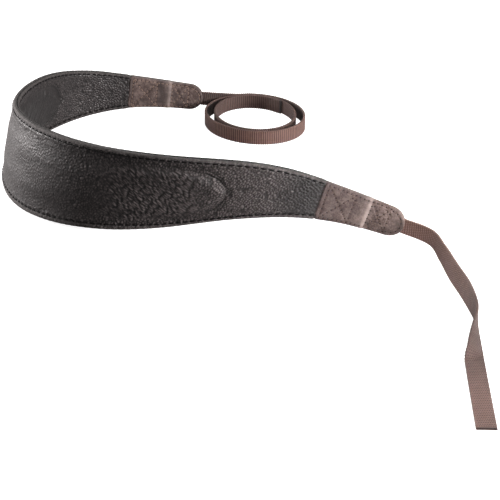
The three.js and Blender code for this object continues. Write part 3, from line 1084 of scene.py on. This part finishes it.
def float_height(along, across):
    """Warp floats of a plain weave: each yarn goes over one pick and under the next."""
    column = np.floor(across / YARN + 0.5)
    off = across / YARN - column
    turn_about = np.cos(2 * math.pi * (along / (2 * PICK) + 0.5 * np.mod(column, 2)))
    return turn_about * (1 - 1.6 * off**2) - 0.5 * (2 * off) ** 2


def tape_sections(gone, columns, floats):
    """Places across and out for a tape's sections, and how light its weave is."""
    half = WEB_WIDTH / 2
    thick = WEB_THICKNESS / 2
    along = per_column(gone, columns)
    across = np.linspace(-1, 1, columns) * (half - WEB_ROUNDING)
    across = np.repeat(across[None, :], len(gone), 0)
    inward = ease(half - 0.3, half - 1.2, np.abs(across))
    rib = 0.8 - 0.6 * floats
    front, behind = (
        rib_height(along + shift / 2) * rib + floats * float_height(along + shift, across) * inward
        for shift in (0, PICK)
    )
    bead = bell(np.abs(across) - (half - 0.75), 0.4) * 0.05
    face, back = (thick - RIB_DEPTH + ribs * RIB_DEPTH + bead for ribs in (front, behind))
    scallop = 0.5 + 0.5 * np.cos(2 * math.pi * gone / PICK)
    angle = np.radians(np.linspace(90, -90, SELVEDGE + 2)[1:-1])
    edge_out = 0.30 + 0.34 * scallop[:, None]
    high = (half - WEB_ROUNDING) + edge_out * np.cos(angle)
    depth = (thick - 0.14) * np.sin(angle) * np.ones((len(gone), 1))
    ring = section((across, face), (high, depth, -depth), (across[:, ::-1], -back[:, ::-1]))
    sides = per_column(scallop, SELVEDGE) * 1.2 - 0.5
    return *ring, 0.5 + 0.5 * np.hstack([front, sides, behind[:, ::-1], sides])


def tape(name, gone, stations, kind):
    """A woven tape along stations, with ribs on both faces and a scalloped selvedge."""
    across, out, weave = tape_sections(gone, kind.columns, kind.floats)
    piece = add_tube(name, stations, across, out, kind.material, "webbing")
    surface_map(piece, per_column(gone, across.shape[1]), across)
    half = WEB_WIDTH / 2
    dots = 1 - kind.spotted + kind.spotted * np.cos(math.pi * across / YARN)
    # Sealed ends are dark; the near one is darker on its back and sides as painted shade, and the far
    # one's dark stretch is widened into a painted shadow line
    burnt_and_shadow = np.maximum(1 - (gone[-1] - gone) / kind.burnt_length, 0)[:, None]
    wide = [kind.columns, SELVEDGE, kind.columns, SELVEDGE]
    # Painted shade and light along each face of the tape
    front, back = kind.lit(gone)
    side = (front + back) / 2
    point_values(
        piece,
        weave=weave,
        edge=ease(half - 0.55, half - 0.1, np.abs(across)) * 0.35,
        cut=np.clip(burnt_and_shadow * dots * 1.5 * np.repeat(kind.burnt_shares, wide), 0, 1),
        lit=np.repeat(np.stack([front, side, back, side], 1), wide, 1),
    )
    return piece


def in_tab(end):
    """The webbing's line inside a tab, and its directions across."""
    place = end * np.linspace(HALF_LENGTH - WEB_IN_TAB, HALF_LENGTH, 60)
    centre, _, across_dir, _, _ = band_at(place)
    return centre, across_dir


def finish_tape(name, line, across_hint, kind):
    """Evens out a line of stations and gives the tape its faces."""
    raw = np.concatenate([[0], np.cumsum(np.linalg.norm(np.diff(line, axis=0), axis=1))])
    gone = np.linspace(0, raw[-1], int(raw[-1] / kind.step) + 1)
    centre, hint = (
        np.stack([np.interp(gone, raw, rows[:, k]) for k in range(3)], 1) for rows in (line, across_hint)
    )
    along = unit(smoothed(unit(np.gradient(centre, axis=0)), HEADING_SMOOTHING))
    across_dir = unit(hint - along * (hint * along).sum(1, keepdims=True))
    return tape(name, gone, (centre, across_dir, np.cross(along, across_dir)), kind)


def near_painted_shade(gone):
    """Painted shade and light on the webbing's two faces: a little lighter by the tab, darker where it
    turns over.
    """
    level = 1.1 - 0.25 * ease(40, 90, gone) - 0.53 * bell(gone - 152, 45)
    return level, level


def far_painted_shade(gone):
    """Painted shade on the coil's inner and outer faces: darker between its turns, where shade falls."""
    later = ease(235, 265, gone)
    return 0.28 + 0.2 * later, 0.97 - 0.45 * later


# The last entry of each weave gives the painted shade and light along its faces
Weave = namedtuple("Weave", "columns step floats spotted burnt_length burnt_shares material lit")
# The sealed ends' darkness also carries painted shade on the near tape and a painted shadow line on the
# far tape
NEAR_WEAVE = Weave(62, 0.34, 0.5, 0.45, 0.55, (0.3, 0.6, 1.0, 0.6), NEAR_WEBBING, near_painted_shade)
FAR_WEAVE = Weave(25, 0.3, 0.0, 0.0, 1.8, (1.0, 1.0, 1.0, 1.0), FAR_WEBBING, far_painted_shade)


def near_edge(tip):
    """Points along the near webbing's lower edge, from inside the tab on, and its leans."""
    points, leans = [], []
    for place in (HALF_LENGTH - WEB_GUIDE, HALF_LENGTH):
        centre, _, across_dir, _, _ = band_at(np.array([place]))
        points.append(centre[0] - across_dir[0] * WEB_WIDTH / 2)
        leans.append(float(lean_at(place)))
    for right, nearer, lift, roll in NEAR_RUN:
        raised = WEB_THICKNESS / 2 * abs(math.sin(math.radians(roll)))
        x = tip[0] + right * NEAR_REACH
        y = tip[1] - nearer * NEAR_REACH
        points.append(np.array([x, y, lift * NEAR_REACH + raised]))
        leans.append(roll)
    return points, leans


def fine_line(points, count):
    """Places in points from the second one on, with the line and its directions there."""
    place = np.linspace(1, len(points) - 1, count)[1:]
    line = catmull_rom(points, place)
    return place, line, unit(np.gradient(line, axis=0))


def near_webbing():
    """The webbing that turns over and ends flat on the floor."""
    inside, inside_across = in_tab(1)
    points, leans = near_edge(inside[-1])
    place, line, along = fine_line(points, NEAR_STATIONS)
    lean = smooth_through(np.arange(len(leans)), leans)(place)
    lean = np.where(place >= place[-1] - NEAR_FLAT_SPANS, leans[-1], lean)
    lean = smoothed(lean[:, None], LEAN_SMOOTHING)[:, 0]
    _, across_dir, _ = directions(along, np.radians(lean))
    stations = np.vstack([inside, line + across_dir * WEB_WIDTH / 2])
    return finish_tape("near_tape", stations, np.vstack([inside_across, across_dir]), NEAR_WEAVE)


coil_side_at, coil_depth_at, coil_layer_at = columns(COIL)


def coil_line(tip):
    """The middle line of the coil, which winds inward on the floor beside its tab."""
    angle = np.linspace(COIL_START, COIL_END, COIL_POINTS + 1)
    turn = np.radians(angle)
    inward = coil_layer_at(angle) * (WEB_THICKNESS + LAYER_GAP)
    side = coil_side_at(angle) * COIL_RADIUS - inward
    depth = coil_depth_at(angle) * COIL_RADIUS - inward
    right = COIL_CENTRE_RIGHT * COIL_RADIUS + side * np.sin(turn)
    away = depth * np.cos(turn) - COIL_SKEW * (right - COIL_SKEW_FROM)
    away = tip[1] - COIL_CENTRE_NEARER * COIL_RADIUS + away
    height = COIL_LIFT * (1 + np.cos(turn)) / 2 + WEB_WIDTH / 2
    coil = np.stack([tip[0] + right, away, height], 1)
    heading = unit((coil[-1] - coil[-2]) * np.array([1, 1, 0]))
    return np.vstack([coil, coil[-1] + heading * COIL_END_STRAIGHT])


def far_webbing():
    """The coiled webbing, which leans at its tab and is upright two spans later."""
    inside, inside_across = in_tab(-1)
    before = band_at(np.array([-HALF_LENGTH + WEB_GUIDE]))[0][0]
    points = np.vstack([before, inside[-1], coil_line(inside[-1])])
    place, line, along = fine_line(points, FAR_STATIONS)
    fade = np.clip(1 - (place - 1) / 2, 0, 1)
    _, across_dir, _ = directions(along, -math.radians(float(lean_at(-HALF_LENGTH))) * fade)
    stations = np.vstack([inside, line])
    return finish_tape("far_tape", stations, np.vstack([inside_across, across_dir]), FAR_WEAVE)


near_tape = near_webbing()
far_tape = far_webbing()
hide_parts("webbing_near")
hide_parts("webbing_far")

made = [outer_panel, inner_panel, outer_stitches, inner_stitches, *tabs, *tab_threads, near_tape, far_tape]
for piece in made:
    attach(piece, "root")


# Floor, light and camera

LAMP_COLOUR = (1.0, 0.955, 0.95)
SKY_COLOUR = (1.0, 0.965, 0.955, 1)
SKY_LEAST = 0.12

# places and sizes are metres, and power is watts
LAMPS = [
    # name, place, target, size, power, spread
    ("right_side", (1.3, -0.5, 0.32), (0.0, 0.05, 0.03), 0.4, 50, 180),
    ("top_soft", (0.1, -0.1, 1.5), (0, 0, 0), 0.8, 10, 180),
    ("left_side", (-1.2, 0.4, 0.4), (-0.12, 0.05, 0.03), 0.6, 30, 180),
    ("front_fill", (0.18, -0.78, 0.40), (0.11, -0.05, 0.02), 0.16, 0.19, 20),
]

# the sky grows brighter to the right and to the back
SKY = [
    # axis, from, to, most
    (0, -0.2, 0.8, 0.32),
    (1, 0.1, 0.75, 0.6),
]


def pale_floor():
    """A bright floor, which neither lights the strap nor shows in it."""
    n = Nodes("pale_floor")
    cloud = n.noise(n.place(), 1.4, 2.0)
    n.finish(Base_Color=n.mix(cloud, grey(0.60), grey(0.62)), Roughness=0.95, Specular_IOR_Level=0.1)
    n.finish(Emission_Strength=0.8, Emission_Color=grey(1))
    mesh = bpy.data.meshes.new("floor")
    size = 6.0
    corners = [(-size, -size, 0), (size, -size, 0), (size, size, 0), (-size, size, 0)]
    mesh.from_pydata(corners, [], [(0, 1, 2, 3)])
    mesh.materials.append(n.material)
    floor = add_object("floor", mesh)
    floor.visible_glossy = False
    floor.visible_diffuse = False


def area_light(name, place, target, size, power, spread):
    lamp = bpy.data.lights.new(name, "AREA")
    lamp.shape = "DISK"
    lamp.size = size
    lamp.energy = power
    lamp.color = LAMP_COLOUR
    lamp.spread = math.radians(spread)
    holder = add_object(name, lamp)
    holder.location = place
    way = Vector(target) - Vector(place)
    holder.rotation_euler = way.to_track_quat("-Z", "Y").to_euler()


def sky():
    """A pale sky, as bright as the brighter of its two slopes."""
    world = bpy.data.worlds.new("studio")
    bpy.context.scene.world = world
    world.use_nodes = True
    tree = world.node_tree
    background = tree.nodes["Background"]
    direction = tree.nodes.new("ShaderNodeTexCoord").outputs["Generated"]
    parts = tree.nodes.new("ShaderNodeSeparateXYZ")
    tree.links.new(direction, parts.inputs[0])
    brighter = tree.nodes.new("ShaderNodeMath")
    brighter.operation = "MAXIMUM"
    for (axis, low, high, most), level in zip(SKY, brighter.inputs):
        slope = tree.nodes.new("ShaderNodeMapRange")
        slope.interpolation_type = "SMOOTHSTEP"
        tree.links.new(parts.outputs[axis], slope.inputs[0])
        for socket, value in zip(slope.inputs[1:5], (low, high, SKY_LEAST, most)):
            socket.default_value = value
        tree.links.new(slope.outputs[0], level)
    tree.links.new(brighter.outputs[0], background.inputs[1])
    background.inputs[0].default_value = SKY_COLOUR


def photographs_camera():
    camera = bpy.data.cameras.new("camera")
    camera.sensor_width = SENSOR
    camera.sensor_fit = "HORIZONTAL"
    camera.lens = FOCAL_PIXELS / FRAME_PIXELS * SENSOR
    camera.clip_start = 0.01
    camera.clip_end = 50
    holder = add_object("camera", camera)
    holder.location = [value * MM for value in CAMERA_PLACE]
    holder.rotation_euler = (math.radians(90 - CAMERA_TILT), 0, 0)
    bpy.context.scene.camera = holder


pale_floor()
sky()
for lamp in LAMPS:
    area_light(*lamp)
photographs_camera()
bpy.context.scene.view_settings.view_transform = "Standard"
